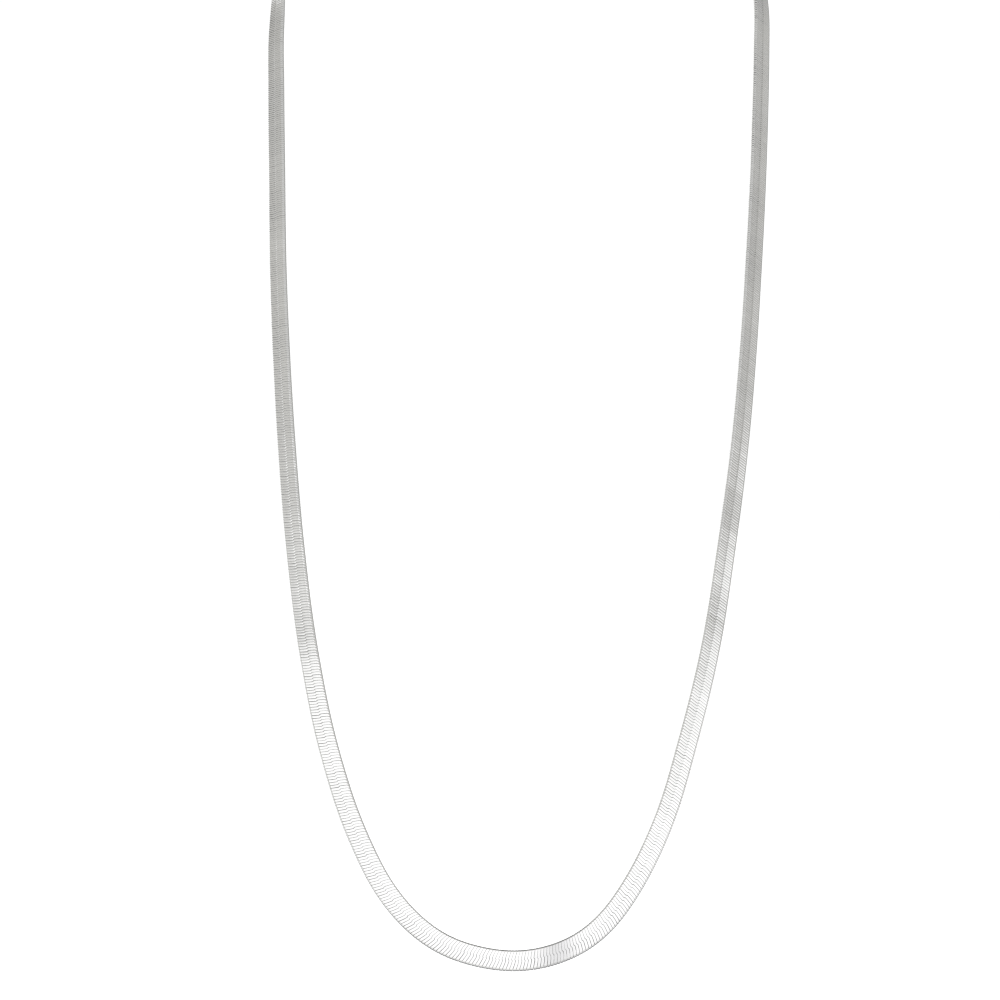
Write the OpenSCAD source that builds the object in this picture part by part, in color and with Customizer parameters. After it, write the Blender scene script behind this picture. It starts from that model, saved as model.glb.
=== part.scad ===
// Herringbone chain necklace, in millimetres, hanging as it is worn.
// The origin is the middle of the neck's hollow, level with the closure at the nape.
// +X is to the wearer's left, -Y is to the front and +Z is up.

/* [Chain] */
// Width of the flat chain
chain_w = 3.5; // [2.5:0.25:4.5]
// Thickness of the flat chain
chain_t = 0.9; // [0.7:0.05:1.1]
// Depth of the groove along the middle of both faces
groove_d = 0.12; // [0.05:0.01:0.2]

/* [End caps] */
// Length of chain held inside each cap
grip = 4; // [3:0.25:5]
// Wall of the cap round the chain
cap_wall = 0.4; // [0.3:0.05:0.6]
// Solid metal between the chain's end and the cap's closed face
cap_back = 0.8; // [0.5:0.1:1.2]
// Rounding of the cap's long edges
cap_round = 0.35; // [0.2:0.05:0.5]
// Clearance between the chain and its cap on every side
fit = 0.1; // [0.08:0.01:0.15]

/* [Eyes] */
// Hole of the eyes on the caps and the clasp
eye_hole = 1.6; // [1.4:0.1:2]
// Metal round the hole of an eye
eye_rim = 0.6; // [0.4:0.05:0.8]
// Thickness of the eyes
eye_t = 0.9; // [0.6:0.05:1.2]
// Metal between the hole and the cap's closed face
eye_web = 0.25; // [0.2:0.05:0.5]

/* [Jump rings] */
// Wire of the jump rings
ring_wire = 0.8; // [0.6:0.05:0.9]
// Inner width of the jump rings
ring_inner = 2.8; // [2.6:0.1:3.6]
// Gap left where two pieces pull on each other
rest_gap = 0.1; // [0.05:0.01:0.15]

/* [Clasp] */
// Length from the clasp's eye to the ring held in its claw
clasp_reach = 8.5; // [8:0.25:11]
// Width of the claw
claw_w = 5; // [4.5:0.25:6]
// Width of the clasp's body next to its eye
body_w = 2.8; // [2.4:0.1:3.4]
// Metal round the claw's opening
claw_bar = 0.9; // [0.8:0.05:1.1]
// Width of the opening's narrow end
throat_w = 1.6; // [1.4:0.1:2]
// Length between the centres of the opening's two round ends
opening_l = 2.2; // [1.6:0.1:2.4]
// Thickness of the clasp
clasp_t = 1.7; // [1.4:0.1:2.2]
// Rounding of the clasp's edges
clasp_round = 0.6; // [0.3:0.05:0.65]
// Size of the round thumb tab
tab_d = 1.4; // [1:0.1:1.8]
// Width of the lever's closed seam
seam_w = 0.2; // [0.1:0.05:0.3]
// Depth of the lever's closed seam
seam_d = 0.25; // [0.15:0.05:0.35]

/* [Hidden] */
silver = [0.80, 0.80, 0.79];
$fn = 48;
hull_fn = 32;
// How far a cutting shape runs past the metal it cuts
past = 1;

// Middle line of a jump ring's wire
ring_r = (ring_inner + ring_wire) / 2;
// How far a ring curves inward over a plate of thickness t that it holds
function ring_bow(t) = ring_inner / 2 - sqrt((ring_inner / 2) ^ 2 - (t / 2) ^ 2);
// How far a ring's wire lies off the centre of the eye that it pulls on
slack = eye_hole / 2 - ring_wire / 2 - rest_gap - ring_bow(eye_t);
eye_r = eye_hole / 2 + eye_rim;

// Places along X, from the cap's eye on either side to the clasp between them
cap_eye_x = (3 * slack + 4 * ring_r + clasp_reach) / 2;
left_ring_x = -cap_eye_x + slack + ring_r;
clasp_eye_x = left_ring_x + ring_r + slack;
held_x = clasp_eye_x + clasp_reach;
right_ring_x = held_x + ring_r;
cap_face_x = cap_eye_x + eye_hole / 2 + eye_web;
pocket_x = cap_face_x + cap_back;
chain_end_x = pocket_x + fit;
mouth_x = chain_end_x + grip;

// The route of the chain's middle line. The last two columns give the direction its front face looks in:
// azimuth is 0 to the front and positive towards +X, and elevation is positive upward.
// Closure's distance behind the middle of the neck, and the straight stretch that leaves a cap
nape_y = 42;
lead = 0.5;
ROUTE = [
    // x, y, z, azimuth, elevation
    [-chain_end_x, nape_y, 0, -180, 0],
    [-mouth_x - lead, nape_y, 0, -180, 0],
    [-27.5, 38.5, -1, -155, 10],
    [-38, 28.5, -5.5, -120, 20],
    [-44, 14.5, -14.5, -80, 30],
    [-45.5, -3, -31, -47, 36],
    [-45, -16, -44, -42, 35],
    [-44.2, -31, -60, -42, 33],
    [-43.3, -47, -78, -40, 32],
    [-42.2, -60, -93, -38, 31],
    [-40.8, -72, -109, -34, 30],
    [-38.8, -84.5, -127, -30, 27],
    [-36, -96, -145, -27, 24],
    [-32, -105.5, -162, -23, 21],
    [-27, -113, -175.5, -18, 19],
    [-22, -117.3, -184.4, -10, 19],
    [-18, -119.2, -188.8, -6, 20],
    [-13, -120.5, -192.3, -2, 20],
    [-7, -121, -194.3, 0, 20],
    [-1, -121, -195, 0, 20],
    [5, -121, -194, 0, 20],
    [10, -120.3, -191.8, 2, 20],
    [14, -119.2, -188.5, 5, 20],
    [18, -117, -183.2, 9, 19],
    [23, -112.2, -173.8, 16, 19],
    [28, -104.3, -159, 22, 21],
    [32, -95.5, -144, 26, 24],
    [35, -85.5, -128, 29, 26],
    [38, -72.5, -109.5, 34, 28],
    [40, -60, -93.5, 38, 30],
    [41.5, -48, -79, 40, 31],
    [43, -34, -63, 42, 32],
    [44.2, -20, -48, 42, 34],
    [45.1, -7, -35, 44, 35],
    [45.5, 2, -26, 50, 36],
    [44, 14.5, -14.5, 80, 30],
    [38, 28.5, -5.5, 120, 20],
    [27.5, 38.5, -1, 155, 10],
    [mouth_x + lead, nape_y, 0, 180, 0],
    [chain_end_x, nape_y, 0, 180, 0],
];
last = len(ROUTE) - 1;
// Rings of the band between two points of the route
steps = 2;

// One half of the band's outline, from one edge to the other over the front face.
// across is a share of half the width and out is a share of half the thickness. The groove lies at 0.
HALF_OUTLINE = [
    // across, out
    [1, 0.3],
    [0.96, 0.75],
    [0.84, 0.97],
    [0.12, 1],
    [-0.12, 1],
    [-0.84, 0.97],
    [-0.96, 0.75],
    [-1, 0.3],
];
groove_after = 3;

function place(i) = [ROUTE[i][0], ROUTE[i][1], ROUTE[i][2]];
function unit(v) = v / norm(v);
function span(i) = norm(place(i + 1) - place(i));
function chord(i) = (place(i + 1) - place(i)) / span(i);
// Direction of the route at a point: straight at the two ends, and else shared between the chords
function heading(i) =
    i < 2 ? chord(0)
    : i > last - 2 ? chord(last - 1)
    : (span(i) * chord(i - 1) + span(i - 1) * chord(i)) / (span(i) + span(i - 1));
// The route is a chain of cubic curves through its points
function on_route(i, u) =
    (2 * u ^ 3 - 3 * u ^ 2 + 1) * place(i)
    + (u ^ 3 - 2 * u ^ 2 + u) * span(i) * heading(i)
    + (3 * u ^ 2 - 2 * u ^ 3) * place(i + 1)
    + (u ^ 3 - u ^ 2) * span(i) * heading(i + 1);
function along_route(i, u) = unit(
    (6 * u ^ 2 - 6 * u) * (place(i) - place(i + 1))
    + (3 * u ^ 2 - 4 * u + 1) * span(i) * heading(i)
    + (3 * u ^ 2 - 2 * u) * span(i) * heading(i + 1)
);
function blend(i, u, column) = (1 - u) * ROUTE[i][column] + u * ROUTE[i + 1][column];
function look(azimuth, elevation) =
    [sin(azimuth) * cos(elevation), -cos(azimuth) * cos(elevation), sin(elevation)];

half_outline = concat(
    [for (k = [0:groove_after]) HALF_OUTLINE[k]],
    [[0, 1 - groove_d / (chain_t / 2)]],
    [for (k = [groove_after + 1:len(HALF_OUTLINE) - 1]) HALF_OUTLINE[k]]
);
outline = concat(
    half_outline,
    [for (p = half_outline) -p]
);
corners = len(outline);

// One ring of the band: its outline set square to the route, with its face turned as the table says
function band_ring(i, u) =
    let (
        ahead = along_route(i, u),
        side = unit(cross(ahead, look(blend(i, u, 3), blend(i, u, 4)))),
        face = cross(side, ahead)
    )
    [for (p = outline) on_route(i, u) + p[0] * chain_w / 2 * side + p[1] * chain_t / 2 * face];

stations = concat(
    [for (i = [0:last - 1], k = [0:steps - 1]) [i, k / steps]],
    [[last - 1, 1]]
);
rings = len(stations);

module chain() {
    points = [for (s = stations) each band_ring(s[0], s[1])];
    walls = [
        for (r = [0:rings - 2], k = [0:corners - 1])
            let (
                a = r * corners + k,
                b = r * corners + (k + 1) % corners,
                c = b + corners,
                d = a + corners
            )
            each [[a, b, c], [a, c, d]]
    ];
    start = [for (k = [corners - 1:-1:0]) k];
    end = [for (k = [0:corners - 1]) (rings - 1) * corners + k];
    color(silver) polyhedron(points, concat(walls, [start, end]));
}

// Points of a rectangle with round corners, centred on the origin
function soft_rectangle(w, h, r) = [
    for (corner = [0:3], a = [0:15:90])
        [(corner == 0 || corner == 3 ? 1 : -1) * (w / 2 - r), (corner < 2 ? 1 : -1) * (h / 2 - r)]
        + r * [cos(90 * corner + a), sin(90 * corner + a)]
];

// A bar along +X with soft long edges, from the plane x = 0
module soft_bar(l, w, h, r) {
    rotate([90, 0, 90]) linear_extrude(l) polygon(soft_rectangle(w, h, r));
}

// The cap on the +X side, in its place. Its pocket opens away from the clasp.
module end_cap() {
    sleeve_w = chain_w + 2 * (fit + cap_wall);
    sleeve_t = chain_t + 2 * (fit + cap_wall);
    color(silver) translate([0, nape_y, 0]) difference() {
        union() {
            translate([cap_face_x, 0, 0]) soft_bar(mouth_x - cap_face_x, sleeve_t, sleeve_w, cap_round);
            translate([cap_eye_x, 0, 0]) rotate([90, 0, 0]) cylinder(h = eye_t, r = eye_r, center = true);
            translate([cap_eye_x, -eye_t / 2, -eye_r]) cube([cap_face_x - cap_eye_x + cap_back / 2, eye_t, 2 * eye_r]);
        }
        translate([cap_eye_x, 0, 0])
            rotate([90, 0, 0]) cylinder(h = eye_t + 2 * past, d = eye_hole, center = true);
        translate([pocket_x, -chain_t / 2 - fit, -chain_w / 2 - fit])
            cube([mouth_x - pocket_x + past, chain_t + 2 * fit, chain_w + 2 * fit]);
    }
}

module end_cap_right() end_cap();
module end_cap_left() mirror([1, 0, 0]) end_cap();

module jump_ring(x) {
    color(silver) translate([x, nape_y, 0]) rotate_extrude() translate([ring_r, 0]) circle(d = ring_wire);
}
module jump_ring_left() jump_ring(left_ring_x);
module jump_ring_right() jump_ring(right_ring_x);

// A round disc with soft edges that lies flat in the clasp, its axis along Y
module soft_disc(r, t, e) {
    edge = [for (a = [-90:22.5:90]) [r - e + e * cos(a), sign(a) * (t / 2 - e) + e * sin(a)]];
    rotate([90, 0, 0]) rotate_extrude($fn = hull_fn) polygon(concat([[0, -t / 2]], edge, [[0, t / 2]]));
}

module clasp() {
    opening_r = claw_w / 2 - claw_bar;
    nose_x = held_x + ring_wire / 2 + rest_gap + ring_bow(clasp_t) - opening_r;
    body_x = clasp_eye_x + eye_r - eye_rim / 2 + body_w / 2;
    tab_x = (body_x + nose_x - opening_l) / 2;
    color(silver) translate([0, nape_y, 0]) difference() {
        union() {
            hull() {
                translate([nose_x, 0, 0]) soft_disc(claw_w / 2, clasp_t, clasp_round);
                translate([body_x, 0, 0]) soft_disc(body_w / 2, clasp_t, clasp_round);
            }
            translate([clasp_eye_x, 0, 0]) rotate([90, 0, 0]) cylinder(h = eye_t, r = eye_r, center = true);
            translate([tab_x, 0, (claw_w + body_w) / 4])
                soft_disc(tab_d / 2, eye_t, eye_t / 3);
        }
        translate([clasp_eye_x, 0, 0])
            rotate([90, 0, 0]) cylinder(h = clasp_t + 2 * past, d = eye_hole, center = true);
        rotate([90, 0, 0]) linear_extrude(clasp_t + 2 * past, center = true) hull() {
            translate([nose_x, 0]) circle(opening_r, $fn = hull_fn);
            translate([nose_x - opening_l, 0]) circle(d = throat_w, $fn = hull_fn);
        }
        for (side = [-1, 1])
            translate([nose_x, side * clasp_t / 2, 0]) rotate([0, -60, 0])
                translate([claw_w / 2, 0, 0]) cube([2 * claw_bar + past, 2 * seam_d, seam_w], center = true);
    }
}

chain();
end_cap_left();
end_cap_right();
jump_ring_left();
jump_ring_right();
clasp();
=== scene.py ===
"""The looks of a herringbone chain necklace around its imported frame. All lengths are in metres."""

import math

import bpy
import numpy as np
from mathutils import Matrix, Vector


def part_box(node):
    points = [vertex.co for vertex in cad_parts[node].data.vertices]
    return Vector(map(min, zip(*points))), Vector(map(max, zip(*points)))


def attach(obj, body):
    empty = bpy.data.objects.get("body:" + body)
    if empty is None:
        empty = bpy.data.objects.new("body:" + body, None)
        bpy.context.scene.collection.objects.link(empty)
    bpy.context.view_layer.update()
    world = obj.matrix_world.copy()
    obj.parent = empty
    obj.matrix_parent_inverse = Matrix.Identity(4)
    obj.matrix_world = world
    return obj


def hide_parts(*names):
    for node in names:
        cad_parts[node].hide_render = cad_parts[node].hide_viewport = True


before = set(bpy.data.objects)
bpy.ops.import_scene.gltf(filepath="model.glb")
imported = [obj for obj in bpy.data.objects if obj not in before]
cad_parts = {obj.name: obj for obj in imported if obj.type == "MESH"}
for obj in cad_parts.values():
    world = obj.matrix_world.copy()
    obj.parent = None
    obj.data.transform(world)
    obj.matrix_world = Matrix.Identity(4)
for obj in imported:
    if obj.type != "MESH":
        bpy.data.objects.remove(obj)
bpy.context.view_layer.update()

# Camera, square to the front. At camera_reach the picture is camera_width wide.
camera_place = (-0.00366, -0.964, -0.11926)
camera_reach = 0.843
camera_width = 0.1643
sensor_width_mm = 36

# Band of the chain
band_w = 0.0035
band_t = 0.0009
groove_d = 0.000008
skin = 0.00001  # how far the slats stay inside the band's solid
cap_grip = 0.004
lead = 0.0005

# Slats
slat_pitch = 0.000534
slat_w = 0.000521
least_gap = 0.000006  # what a slat leaves to the next one, before its own shift along the chain
leg_t = 0.00037
outer_side_finish_and_shade = 0.0  # how much the band's outer side is rubbed, against 1 on its faces; below 1 it is rougher and darker, a painted shade along the outer edge
inner_polish = 1.0
shingle_deg = -2.0  # how far the slats of each half lean along the chain
lean_spread_deg = 1.0  # how much the lean differs from slat to slat
lean_drift_deg = 1.3  # how much it drifts over a longer stretch
drift_length = 0.003
width_spread = 0.02  # the usual share of its width that a slat lacks
shift_spread = 0.000006  # how far a slat sits off its place along the chain
bend_flush = 0.6  # how much shallower the slats' edges are at the two bends
front_flush = 0.35  # and at the front, against the arms
flush_from = 0.72  # share of half the width where the bends' flush edges start
flush_length = 0.1  # and the share over which they come in
middle_dulling_and_shade = 5.0  # how much duller and darker the slats' edges are at the band's middle, a painted shade in the middle groove
arm_dulling_and_shade = 3.0  # and up the arms, a painted shade between the slats
arm_heights = (-0.150, -0.100)  # heights between which the front turns into the arms
middle_reach = 0.09  # share of half the width that the groove and its painted shade reach from the middle
lean_reach = 0.2  # share of half the width within which the lean changes sides
side_facing = 0.7  # a ring that faces further outward than this is on the band's side
rim_out = 0.8  # a corner of the wire further out than this share of the leg is on its rim
slats_in_piece = 220
map_inset = 0.05  # share of its square on the map that is left free on each side of a slat
seed = 7

# Short stretches where the slats are duller and darker, a painted shade, and a little loose
DULLED_SHADED_STRETCHES = [
    # x at the front, half length, share of the polish lost (darker, a painted shade), extra spread of the
    # slats' lean in degrees
    (0.0057, 0.0022, 0.32, 1.5),
]

# Smoothing of the route
sample_step = 0.0001
smooth_length = 0.003
samples_in_span = 60
bell_reach = 3  # how many times its own length a soft average reaches to either side

# Where the caps hold the band's ends
right_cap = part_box("end_cap_right")
nape_y = (right_cap[0].y + right_cap[1].y) / 2
mouth_x = right_cap[1].x
chain_end_x = mouth_x - cap_grip

# The route of the band's middle line, as in the frame's solid. The last two columns give the direction
# that its front face looks in: azimuth is 0 to the front and positive towards +X, elevation is upward.
ROUTE = [
    # x, y, z, azimuth, elevation
    (-chain_end_x, nape_y, 0, -180, 0),
    (-mouth_x - lead, nape_y, 0, -180, 0),
    (-0.0275, 0.0385, -0.001, -155, 10),
    (-0.038, 0.0285, -0.0055, -120, 20),
    (-0.044, 0.0145, -0.0145, -80, 30),
    (-0.0455, -0.003, -0.031, -47, 36),
    (-0.045, -0.016, -0.044, -42, 35),
    (-0.0442, -0.031, -0.06, -42, 33),
    (-0.0433, -0.047, -0.078, -40, 32),
    (-0.0422, -0.06, -0.093, -38, 31),
    (-0.0408, -0.072, -0.109, -34, 30),
    (-0.0388, -0.0845, -0.127, -30, 27),
    (-0.036, -0.096, -0.145, -27, 24),
    (-0.032, -0.1055, -0.162, -23, 21),
    (-0.027, -0.113, -0.1755, -18, 19),
    (-0.022, -0.1173, -0.1844, -10, 19),
    (-0.018, -0.1192, -0.1888, -6, 20),
    (-0.013, -0.1205, -0.1923, -2, 20),
    (-0.007, -0.121, -0.1943, 0, 20),
    (-0.001, -0.121, -0.195, 0, 20),
    (0.005, -0.121, -0.194, 0, 20),
    (0.01, -0.1203, -0.1918, 2, 20),
    (0.014, -0.1192, -0.1885, 5, 20),
    (0.018, -0.117, -0.1832, 9, 19),
    (0.023, -0.1122, -0.1738, 16, 19),
    (0.028, -0.1043, -0.159, 22, 21),
    (0.032, -0.0955, -0.144, 26, 24),
    (0.035, -0.0855, -0.128, 29, 26),
    (0.038, -0.0725, -0.1095, 34, 28),
    (0.04, -0.06, -0.0935, 38, 30),
    (0.0415, -0.048, -0.079, 40, 31),
    (0.043, -0.034, -0.063, 42, 32),
    (0.0442, -0.02, -0.048, 42, 34),
    (0.0451, -0.007, -0.035, 44, 35),
    (0.0455, 0.002, -0.026, 50, 36),
    (0.044, 0.0145, -0.0145, 80, 30),
    (0.038, 0.0285, -0.0055, 120, 20),
    (0.0275, 0.0385, -0.001, 155, 10),
    (mouth_x + lead, nape_y, 0, 180, 0),
    (chain_end_x, nape_y, 0, 180, 0),
]

# How a slat runs from the band's middle to either edge. across is a share of half the band's width,
# and along is in pitches. It steps back at the middle, which makes the zigzag there.
SLAT_LINE = [
    # across, along
    (0, 0),
    (0.03, -0.06),
    (0.075, -0.11),
    (0.11, -0.085),
    (0.45, 0.235),
    (0.75, 0.565),
    (1.00, 0.93),
]

# Section of a slat's wire, pressed flat. along is a share of half the slat's width, out is a share of
# the leg's thickness from its inner face to its outer one, and polish is 1 where the metal is rubbed.
# Below 1 the wire is rougher, and darker: a painted shade on the slats' edges, between the slats.
WIRE_SECTION = [
    # along, out, polish (below 1 also a painted shade)
    (-0.85, 0.00, 0.52),
    (-1.00, 0.40, 0.52),
    (-1.00, 0.84, 0.68),
    (-0.95, 0.925, 0.90),
    (-0.84, 0.962, 0.98),
    (-0.50, 0.987, 1.0),
    (0.00, 1.00, 1.0),
    (0.50, 0.987, 1.0),
    (0.84, 0.962, 0.98),
    (0.95, 0.925, 0.90),
    (1.00, 0.84, 0.68),
    (1.00, 0.40, 0.52),
    (0.85, 0.00, 0.52),
]

# Places of a slat's rings: across the front leg, round a bend and across the back leg
FRONT_ACROSS = (-0.80, -0.77, -0.45, -0.11, -0.075, -0.03, 0.03, 0.075, 0.11, 0.45, 0.77, 0.80)
BACK_ACROSS = (0.80, 0.45, 0.075, 0.03, -0.03, -0.075, -0.45, -0.80)
BEND_DEG = (60, 20, -20, -60)

# Silver: clouds of tone, and fine scratches in it. A grooved one is rougher where it isn't rubbed, and darker
# there, a painted shade.
cloud_scale = 900
cloud_detail = 4
scratch_scale = 14000
scratch_detail = 2
scratch_depth = 0.00002
scratch_strength = 0.08
least_rough = 0.10
brushed_rough = 0.14
warmth = (0.005, 0.010)  # how much less blue there is in its palest and darkest grey
# colour where the metal isn't rubbed: darker than silver, a painted shade on the slats' edges
dull_shade_colour = (0.25, 0.25, 0.26, 1)
dull_rough = 0.45

# Light of the studio by direction. A large panel stands in front and above, in a grey room.
panel_way = (0, -0.78, 0.62)
PANEL_LIGHT = [
    # cosine of the angle from the panel's middle, red, green, blue
    (-1.0, 0.500, 0.496, 0.477),
    (-0.1, 0.482, 0.478, 0.459),
    (0.17, 0.467, 0.463, 0.443),
    (0.28, 0.484, 0.480, 0.461),
    (0.34, 0.522, 0.518, 0.498),
    (0.41, 0.514, 0.510, 0.491),
    (0.47, 0.502, 0.498, 0.480),
    (0.52, 0.580, 0.576, 0.560),
    (0.59, 0.705, 0.702, 0.693),
    (0.635, 0.900, 0.900, 0.898),
    (0.68, 1.035, 1.035, 1.037),
    (0.76, 1.060, 1.057, 1.061),
    (0.85, 1.125, 1.121, 1.130),
    (1.0, 1.170, 1.165, 1.178),
]
# What the room's light is multiplied by from left to right
SIDE_LIGHT = [
    # how far to the right, red, green, blue
    (-1.0, 1.20, 1.20, 1.20),
    (-0.77, 1.17, 1.17, 1.17),
    (-0.70, 1.09, 1.09, 1.09),
    (-0.60, 1.02, 1.02, 1.02),
    (-0.45, 0.98, 0.98, 0.98),
    (-0.15, 0.98, 0.98, 0.98),
    (0.15, 1.00, 1.00, 1.00),
    (0.35, 1.04, 1.04, 1.04),
    (0.55, 1.03, 1.03, 1.03),
    (0.72, 0.96, 0.96, 0.96),
    (1.0, 0.965, 0.965, 0.965),
]
# Round patches of their own tone in the room: the ceiling, shade behind and shade to the right
PATCHES = [
    # way to its middle, cosines where it starts and is whole, how far it reaches to the sides, colour
    ((0, 0.12, 0.99), (0.70, 0.82), (0.90, 1.00), (0.60, 0.60, 0.59)),
    ((0, 0.75, 0.66), (0.79, 0.87), (0.40, 0.54), (0.02, 0.02, 0.02)),
    ((0.66, 0.62, 0.42), (0.955, 0.985), (0.90, 1.00), (0.39, 0.39, 0.39)),
]
# Foot of the walls, as pale as the floor below it. The wall in front has none.
wall_heights = (0.0, 0.20)
wall_front = (0.45, 0.70)
wall_colour = (0.93, 0.93, 0.93)
# White backdrop behind the necklace, higher on the left
backdrop_way = (-0.3, 0.95, -0.1)
backdrop_edges = (0.48, 0.66)
backdrop_tilt = (0.50, 0, 1)
backdrop_heights = (0.135, 0.185)
backdrop_colour = (1.03, 1.03, 1.03)

# Floor: pale, and lit white towards the backdrop
floor_z = -0.255
floor_size = 60
floor_colour = (0.74, 0.74, 0.74, 1)
floor_rough = 0.8
floor_shine = 0.1
floor_glow_from = 0.10
floor_glow_to = 0.46
floor_glow = (0.15, 0.38)
floor_glow_sides = (4, 12)  # it fades this far out to the sides
sun_strength = 1.6
sun_angle_deg = 40
sun_tilt_deg = (-25, 12, 0)


def unit(v):
    return v / np.linalg.norm(v, axis=-1, keepdims=True)


def bell(length, step):
    """The weights of a soft average of that length, for values that lie a step apart."""
    reach = int(bell_reach * length / step)
    return np.exp(-0.5 * (np.arange(-reach, reach + 1) * step / length) ** 2)


def smoothed(values, step):
    """The values after a soft average along the line, corrected so that bends keep their place."""
    weights = bell(smooth_length, step)
    weights /= weights.sum()
    reach = len(weights) // 2

    def once(v):
        before = 2 * v[0] - v[reach:0:-1]
        after = 2 * v[-1] - v[-2 : -reach - 2 : -1]
        padded = np.concatenate([before, v, after])
        return np.stack([np.convolve(c, weights, "valid") for c in padded.T], 1)

    first = once(values)
    return 2 * first - once(first)


def route_frames():
    """Even samples along the band: distance, place, way to the outer edge and way of the front face."""
    table = np.array(ROUTE)
    places = table[:, :3]
    spans = np.linalg.norm(np.diff(places, axis=0), axis=1)
    chords = np.diff(places, axis=0) / spans[:, None]
    headings = np.empty_like(places)
    headings[:2] = chords[0]
    headings[-2:] = chords[-1]
    before, after = spans[1:-2, None], spans[2:-1, None]
    headings[2:-2] = (after * chords[1:-2] + before * chords[2:-1]) / (before + after)
    u = np.linspace(0, 1, samples_in_span, endpoint=False)[:, None]
    points, turns = [], []
    for i, length in enumerate(spans):
        points.append(
            (2 * u**3 - 3 * u**2 + 1) * places[i]
            + (u**3 - 2 * u**2 + u) * length * headings[i]
            + (3 * u**2 - 2 * u**3) * places[i + 1]
            + (u**3 - u**2) * length * headings[i + 1]
        )
        turns.append((1 - u) * table[i, 3:] + u * table[i + 1, 3:])
    points = np.concatenate(points + [places[-1:]])
    turns = np.concatenate(turns + [table[-1:, 3:]])
    run = np.concatenate([[0], np.cumsum(np.linalg.norm(np.diff(points, axis=0), axis=1))])
    distance = np.linspace(0, run[-1], int(run[-1] / sample_step))
    step = distance[1]
    rows = np.concatenate([points, turns], 1)
    even = np.stack([np.interp(distance, run, c) for c in rows.T], 1)
    even = smoothed(even, step)
    place = even[:, :3]
    azimuth, elevation = np.radians(even[:, 3]), np.radians(even[:, 4])
    ahead = unit(np.gradient(place, axis=0))
    look = np.stack(
        [
            np.sin(azimuth) * np.cos(elevation),
            -np.cos(azimuth) * np.cos(elevation),
            np.sin(elevation),
        ],
        1,
    )
    side = unit(np.cross(ahead, look))
    return distance, place, side, np.cross(side, ahead)


def slat_rings():
    """The rings of one slat.

    Each has its place across and its height, its outward direction (across, height), its place along,
    its shares of lean and polish (below 1 also a painted shade), the dulling and painted shade on its edges
    and how flush these are.
    """
    half_w = band_w / 2 - skin
    middle = band_t / 2 - skin - leg_t / 2
    flat = FRONT_ACROSS[-1] * half_w
    bend = half_w - flat - leg_t / 2
    rings = []
    for facing, shares in ((1, FRONT_ACROSS), (-1, BACK_ACROSS)):
        for share in shares:
            rings.append((share * half_w, facing * middle, 0, facing))
        for angle in BEND_DEG:
            c, s = facing * math.cos(math.radians(angle)), facing * math.sin(math.radians(angle))
            rings.append((facing * flat + bend * c, middle * s, c, s))
    across, height, out_across, out_height = np.array(rings).T
    share = across / half_w
    line = np.array(SLAT_LINE)
    along = np.sign(share) * np.interp(abs(share), line[:, 0], line[:, 1]) * slat_pitch
    at_middle = np.exp(-((share / middle_reach) ** 2))
    height = height - np.sign(height) * groove_d * at_middle
    lean = np.tanh(share / lean_reach) * abs(out_height)
    # The outer side is rough and darkened: a painted shade along the band's outer edge.
    side_finish_and_shade = np.where(share < 0, outer_side_finish_and_shade, inner_polish)
    rubbed_and_shaded = np.where(abs(out_across) > side_facing, side_finish_and_shade, 1)
    # Edges near the middle groove get duller and darker: a painted shade.
    edge_dulling_and_shade = middle_dulling_and_shade * at_middle
    flush = bend_flush * np.clip((abs(share) - flush_from) / flush_length, 0, 1)
    return across, height, out_across, out_height, along, lean, rubbed_and_shaded, edge_dulling_and_shade, flush


def slat_manners(centres, distance, place):
    """How slats differ: lean in degrees, share of width that they lack, shift along and share of polish kept,
    which the darker stretches lower as a painted shade.
    """
    random = np.random.default_rng(seed)
    count = len(centres)
    own = random.normal(0, 1, count)
    slow = random.normal(0, 1, count)
    weights = bell(drift_length, slat_pitch)
    slow = np.convolve(slow, weights / np.sqrt((weights**2).sum()), "same")
    spread = np.full(count, lean_spread_deg)
    loss = width_spread * abs(random.normal(0, 1, count))
    shift = shift_spread * random.normal(0, 1, count)
    kept = np.ones(count)
    front = place[:, 1] < 0
    # The stretches lose polish, rougher and darker as a painted shade, and their slats lean more.
    for x, half_length, share, extra in DULLED_SHADED_STRETCHES:
        middle = distance[np.argmin(np.where(front, abs(place[:, 0] - x), np.inf))]
        near = np.exp(-0.5 * ((centres - middle) / half_length) ** 2)
        spread = spread + extra * near
        kept = kept * (1 - share * near)
    return spread * own + lean_drift_deg * slow, loss, shift, kept


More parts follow.
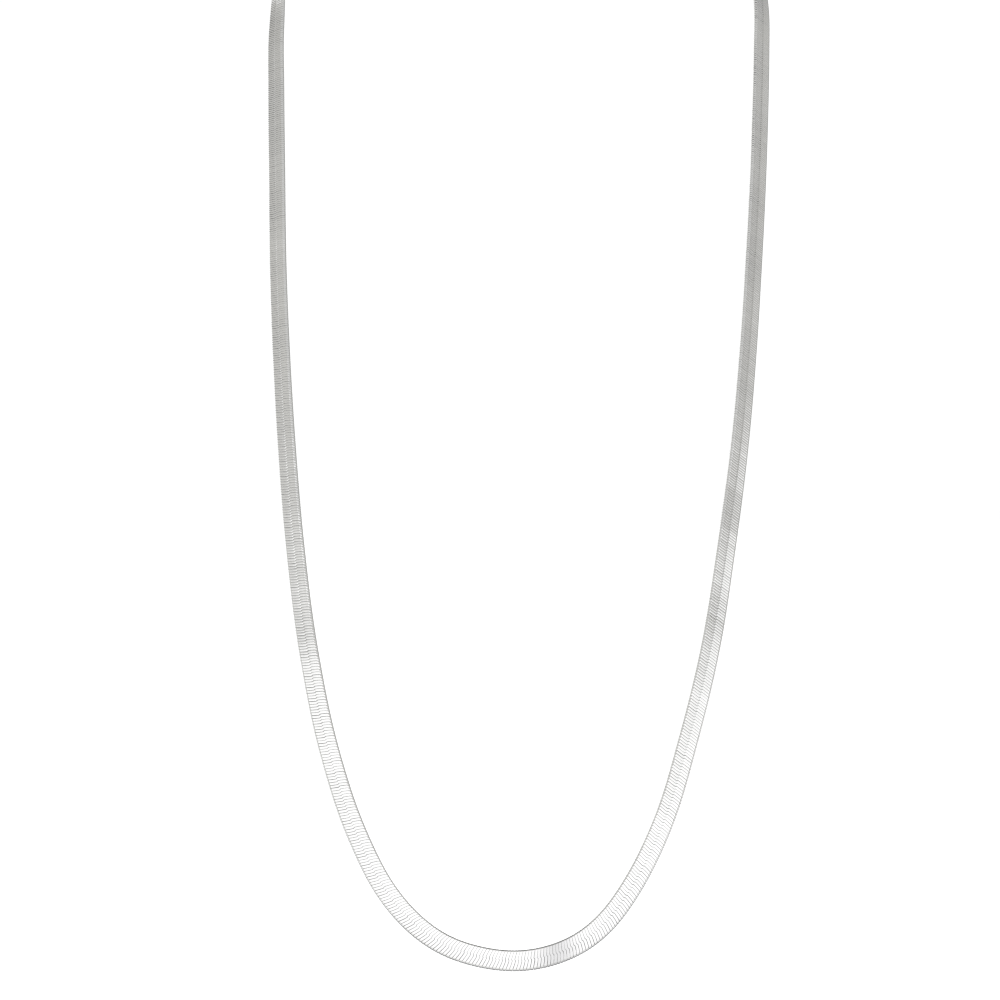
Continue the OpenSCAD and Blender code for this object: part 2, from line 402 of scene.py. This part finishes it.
def make_slats():
    """The chain's slats, a closed loop of pressed wire each, in a few joined meshes."""
    distance, place, side, face = route_frames()
    across, height, out_across, out_height, along, lean, rubbed_and_shaded, edge_dulling_and_shade, flush = slat_rings()
    section = np.array(WIRE_SECTION)
    reach = abs(along).max() + slat_pitch
    count = int((distance[-1] - 2 * reach) / slat_pitch)
    first = (distance[-1] - (count - 1) * slat_pitch) / 2
    centres = first + slat_pitch * np.arange(count)
    own_lean, loss, shift, kept = slat_manners(centres, distance, place)
    up = np.interp(np.interp(centres, distance, place[:, 2]), arm_heights, (0, 1))
    leans = np.radians(shingle_deg * lean[None, :] + own_lean[:, None])
    ahead = np.gradient(place, distance, axis=0)
    widening = np.sum(np.gradient(side, distance, axis=0) * ahead, 1)
    middle = (centres + shift)[:, None] + along[None, :]
    stretch = 1 - across[None, :] * np.interp(middle, distance, widening)
    room = slat_pitch * stretch - least_gap
    half_w = np.minimum(slat_w * (1 - loss[:, None]), room) / 2
    reach_along = section[None, None, :, 0] * half_w[:, :, None]
    run = middle[:, :, None] + reach_along / stretch[:, :, None]
    flush = np.maximum(flush[None, :], front_flush * (1 - up[:, None]))
    edge_dip = np.where(section[:, 1] > rim_out, 1 - section[:, 1], 0)
    out = section[:, 1] - 0.5 + edge_dip * flush[:, :, None]
    rise = out * leg_t + reach_along * np.tan(leans)[:, :, None]
    inward = across[None, :, None] + rise * out_across[None, :, None]
    forward = height[None, :, None] + rise * out_height[None, :, None]

    def at(values):
        return np.stack([np.interp(run, distance, c) for c in values.T], -1)

    # side points to the outer edge, where across is negative
    points = at(place) - inward[..., None] * at(side) + forward[..., None] * at(face)
    # Edges get duller and darker at the middle and up the arms: a painted shade between the slats.
    power = 1 + arm_dulling_and_shade * up[:, None] * abs(out_height)[None, :] + edge_dulling_and_shade[None, :]
    finish_and_shade = kept[:, None, None] * rubbed_and_shaded[None, :, None] * section[:, 2] ** power[:, :, None]
    for start in range(0, count, slats_in_piece):
        some = slice(start, start + slats_in_piece)
        make_slat_piece(f"slats_{start // slats_in_piece + 1}", points[some], finish_and_shade[some])


def make_slat_piece(name, points, finish_and_shade):
    """One mesh of several slats. points and the polish, with its painted shade, have a row for each slat,
    ring and corner.
    """
    slats, rings, corners = finish_and_shade.shape
    ring, corner = np.meshgrid(np.arange(rings), np.arange(corners), indexing="ij")
    next_ring, next_corner = (ring + 1) % rings, (corner + 1) % corners
    quad = np.stack(
        [
            ring * corners + corner,
            ring * corners + next_corner,
            next_ring * corners + next_corner,
            next_ring * corners + corner,
        ],
        -1,
    ).reshape(-1, 4)
    quads = (quad[None] + (np.arange(slats) * rings * corners)[:, None, None]).reshape(-1, 4)
    mesh = bpy.data.meshes.new(name)
    mesh.vertices.add(points.size // 3)
    mesh.vertices.foreach_set("co", points.astype(np.float32).ravel())
    mesh.loops.add(quads.size)
    mesh.loops.foreach_set("vertex_index", quads.astype(np.int32).ravel())
    mesh.polygons.add(len(quads))
    mesh.polygons.foreach_set("loop_start", np.arange(0, quads.size, 4, dtype=np.int32))
    mesh.update(calc_edges=True)
    mesh.validate()
    mesh.polygons.foreach_set("use_smooth", np.ones(len(quads), bool))
    lay_out(mesh, slats, rings, corners)
    # the slats' polish: below 1 it also darkens their colour, a painted shade
    rubbed_and_shaded = mesh.attributes.new("finish_and_shade", "FLOAT", "POINT")
    rubbed_and_shaded.data.foreach_set("value", finish_and_shade.astype(np.float32).ravel())
    piece = bpy.data.objects.new(name, mesh)
    bpy.context.scene.collection.objects.link(piece)
    piece.data.materials.append(silver("slat_silver", brushed=0.5, tones=(0.935, 0.900), grooved=True))
    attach(piece, "root")
    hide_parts("chain")


def lay_out(mesh, slats, rings, corners):
    """A map for baking, with a small square for each slat."""
    columns = math.ceil(math.sqrt(slats))
    slat, ring, corner, end = np.meshgrid(
        np.arange(slats), np.arange(rings), np.arange(corners), np.arange(4), indexing="ij"
    )
    u = (ring + (end >= 2)) / rings
    v = (corner + ((end == 1) | (end == 2))) / corners
    u = (slat % columns + map_inset + (1 - 2 * map_inset) * u) / columns
    v = (slat // columns + map_inset + (1 - 2 * map_inset) * v) / columns
    layer = mesh.uv_layers.new(name="OFBake")
    layer.data.foreach_set("uv", np.stack([u, v], -1).astype(np.float32).ravel())


def link(tree, a, b):
    tree.links.new(a, b)


def silver(name, brushed, tones, grooved=False):
    """Silver with fine scratches and soft wear. A grooved one is also darker where it isn't rubbed, a painted
    shade.

    brushed is 0 for a mirror and more for a satin face, and tones are its palest and darkest grey.
    """
    found = bpy.data.materials.get(name)
    if found:
        return found
    material = bpy.data.materials.new(name)
    material.use_nodes = True
    tree = material.node_tree
    nodes = tree.nodes
    shader = nodes["Principled BSDF"]
    shader.inputs["Metallic"].default_value = 1
    place = nodes.new("ShaderNodeTexCoord").outputs["Object"]

    def noise(scale, detail):
        node = nodes.new("ShaderNodeTexNoise")
        node.inputs["Scale"].default_value = scale
        node.inputs["Detail"].default_value = detail
        link(tree, place, node.inputs["Vector"])
        return node.outputs["Fac"]

    cloud = noise(cloud_scale, cloud_detail)
    scratch = noise(scratch_scale, scratch_detail)
    tone = nodes.new("ShaderNodeMix")
    tone.data_type = "RGBA"
    for socket, grey, less_blue in zip("BA", tones, warmth):
        tone.inputs[socket].default_value = (grey, grey, grey - less_blue, 1)
    link(tree, cloud, tone.inputs["Factor"])
    colour = tone.outputs["Result"]
    gloss = nodes.new("ShaderNodeMapRange")
    gloss.inputs["To Min"].default_value = least_rough
    gloss.inputs["To Max"].default_value = least_rough + brushed_rough * brushed
    link(tree, scratch, gloss.inputs["Value"])
    rough = gloss.outputs["Result"]
    # Where the polish is below 1 the metal is rougher, and darker as a painted shade between the slats.
    if grooved:
        rubbed_and_shaded = nodes.new("ShaderNodeAttribute")
        rubbed_and_shaded.attribute_name = "finish_and_shade"
        dulled_and_shaded = nodes.new("ShaderNodeMix")
        dulled_and_shaded.data_type = "RGBA"
        dulled_and_shaded.inputs["A"].default_value = dull_shade_colour
        link(tree, rubbed_and_shaded.outputs["Fac"], dulled_and_shaded.inputs["Factor"])
        link(tree, colour, dulled_and_shaded.inputs["B"])
        colour = dulled_and_shaded.outputs["Result"]
        matt = nodes.new("ShaderNodeMix")
        matt.inputs["A"].default_value = dull_rough
        link(tree, rubbed_and_shaded.outputs["Fac"], matt.inputs["Factor"])
        link(tree, rough, matt.inputs["B"])
        rough = matt.outputs["Result"]
    link(tree, colour, shader.inputs["Base Color"])
    link(tree, rough, shader.inputs["Roughness"])
    bump = nodes.new("ShaderNodeBump")
    bump.inputs["Strength"].default_value = scratch_strength * brushed
    bump.inputs["Distance"].default_value = scratch_depth
    link(tree, scratch, bump.inputs["Height"])
    link(tree, bump.outputs["Normal"], shader.inputs["Normal"])
    return material


def dress_findings():
    """The caps, rings and clasp keep their solids and get polished metal."""
    for name, slot in (
        ("end_cap_left", "silver_cap"),
        ("end_cap_right", "silver_cap"),
        ("jump_ring_left", "silver_ring"),
        ("jump_ring_right", "silver_ring"),
        ("clasp", "silver_clasp"),
    ):
        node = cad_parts[name]
        node.data.materials.clear()
        node.data.materials.append(silver("findings_silver", brushed=1.6, tones=(0.83, 0.71)))


def make_camera():
    data = bpy.data.cameras.new("camera")
    data.sensor_width = sensor_width_mm
    data.lens = sensor_width_mm * camera_reach / camera_width
    data.clip_start = 0.01
    data.clip_end = 100
    camera = bpy.data.objects.new("camera", data)
    camera.location = camera_place
    camera.rotation_euler = (math.radians(90), 0, 0)
    bpy.context.scene.collection.objects.link(camera)
    bpy.context.scene.camera = camera


def make_floor():
    """A plain pale floor that runs out of sight and gets whiter behind the necklace."""
    half = floor_size / 2
    mesh = bpy.data.meshes.new("floor")
    corners = [(-half, -half, floor_z), (half, -half, floor_z), (half, half, floor_z), (-half, half, floor_z)]
    mesh.from_pydata(corners, [], [(0, 1, 2, 3)])
    floor = bpy.data.objects.new("floor", mesh)
    material = bpy.data.materials.new("floor_white")
    material.use_nodes = True
    tree = material.node_tree
    shader = tree.nodes["Principled BSDF"]
    shader.inputs["Base Color"].default_value = floor_colour
    shader.inputs["Roughness"].default_value = floor_rough
    shader.inputs["Specular IOR Level"].default_value = floor_shine
    shader.inputs["Emission Color"].default_value = (1, 1, 1, 1)
    place = tree.nodes.new("ShaderNodeTexCoord").outputs["Object"]
    back = tree.nodes.new("ShaderNodeSeparateXYZ")
    link(tree, place, back.inputs["Vector"])
    pool = computed(
        tree,
        "MULTIPLY",
        soft_step(tree, back.outputs["Y"], floor_glow_from, floor_glow_to, 0, 1),
        soft_step(tree, computed(tree, "ABSOLUTE", back.outputs["X"]), *floor_glow_sides, 1, 0),
    )
    low, high = floor_glow
    link(tree, computed(tree, "MULTIPLY_ADD", pool, high - low, low), shader.inputs["Emission Strength"])
    mesh.materials.append(material)
    bpy.context.scene.collection.objects.link(floor)


def soft_step(tree, value, low, high, from_value, to_value):
    """from_value up to low and to_value from high on, with a soft change between them."""
    step = tree.nodes.new("ShaderNodeMapRange")
    step.interpolation_type = "SMOOTHSTEP"
    for name, number in (
        ("From Min", low),
        ("From Max", high),
        ("To Min", from_value),
        ("To Max", to_value),
    ):
        step.inputs[name].default_value = number
    link(tree, value, step.inputs["Value"])
    return step.outputs["Result"]


def computed(tree, operation, *values):
    """The result of one Math node."""
    node = tree.nodes.new("ShaderNodeMath")
    node.operation = operation
    for socket, value in zip(node.inputs, values):
        if isinstance(value, (int, float)):
            socket.default_value = value
        else:
            link(tree, value, socket)
    return node.outputs["Value"]


def make_world():
    """A white studio: a panel of light in front and above, shade, pale walls and a white backdrop."""
    world = bpy.data.worlds.new("studio")
    bpy.context.scene.world = world
    world.use_nodes = True
    tree = world.node_tree
    nodes = tree.nodes
    way = nodes.new("ShaderNodeTexCoord").outputs["Generated"]

    def cosine(direction):
        dot = nodes.new("ShaderNodeVectorMath")
        dot.operation = "DOT_PRODUCT"
        dot.inputs[1].default_value = unit(np.array(direction, float))
        link(tree, way, dot.inputs[0])
        return dot.outputs["Value"]

    def mixed(share, a, colour):
        mix = nodes.new("ShaderNodeMix")
        mix.data_type = "RGBA"
        mix.inputs["B"].default_value = (*colour, 1)
        link(tree, share, mix.inputs["Factor"])
        link(tree, a, mix.inputs["A"])
        return mix.outputs["Result"]

    def by_cosine(value, table):
        ramp = nodes.new("ShaderNodeValToRGB")
        stops = ramp.color_ramp.elements
        while len(stops) < len(table):
            stops.new(0.5)
        for stop, (angle_cosine, *colour) in zip(stops, table):
            stop.position = (angle_cosine + 1) / 2
            stop.color = (*colour, 1)
        link(tree, computed(tree, "MULTIPLY_ADD", value, 0.5, 0.5), ramp.inputs["Fac"])
        return ramp.outputs["Color"]

    room = nodes.new("ShaderNodeMix")
    room.data_type = "RGBA"
    room.blend_type = "MULTIPLY"
    room.inputs["Factor"].default_value = 1
    link(tree, by_cosine(cosine(panel_way), PANEL_LIGHT), room.inputs["A"])
    link(tree, by_cosine(cosine((1, 0, 0)), SIDE_LIGHT), room.inputs["B"])
    light = room.outputs["Result"]
    sideways = computed(tree, "ABSOLUTE", cosine((1, 0, 0)))
    for middle, edges, width, colour in PATCHES:
        share = computed(
            tree,
            "MULTIPLY",
            soft_step(tree, cosine(middle), *edges, 0, 1),
            soft_step(tree, sideways, *width, 1, 0),
        )
        light = mixed(share, light, colour)
    height = computed(tree, "ABSOLUTE", cosine((0, 0, 1)))
    wall = computed(
        tree,
        "MULTIPLY",
        soft_step(tree, height, *wall_heights, 1, 0),
        soft_step(tree, cosine((0, -1, 0)), *wall_front, 1, 0),
    )
    light = mixed(wall, light, wall_colour)
    backdrop = computed(
        tree,
        "MULTIPLY",
        soft_step(tree, cosine(backdrop_way), *backdrop_edges, 0, 1),
        soft_step(tree, cosine(backdrop_tilt), *backdrop_heights, 1, 0),
    )
    light = mixed(backdrop, light, backdrop_colour)
    link(tree, light, nodes["Background"].inputs["Color"])


def make_sun():
    """A wide soft light on the floor. The metal doesn't mirror it."""
    data = bpy.data.lights.new("sun", "SUN")
    data.energy = sun_strength
    data.angle = math.radians(sun_angle_deg)
    sun = bpy.data.objects.new("sun", data)
    sun.rotation_euler = [math.radians(a) for a in sun_tilt_deg]
    sun.visible_glossy = False
    bpy.context.scene.collection.objects.link(sun)


bpy.context.scene.view_settings.view_transform = "Standard"
# The slats lie two pixels apart up the arms. These two settings keep the filters from wiping them out.
bpy.context.scene.cycles.denoising_prefilter = "NONE"
bpy.context.scene.cycles.filter_width = 1.2
make_camera()
make_slats()
dress_findings()
make_floor()
make_world()
make_sun()
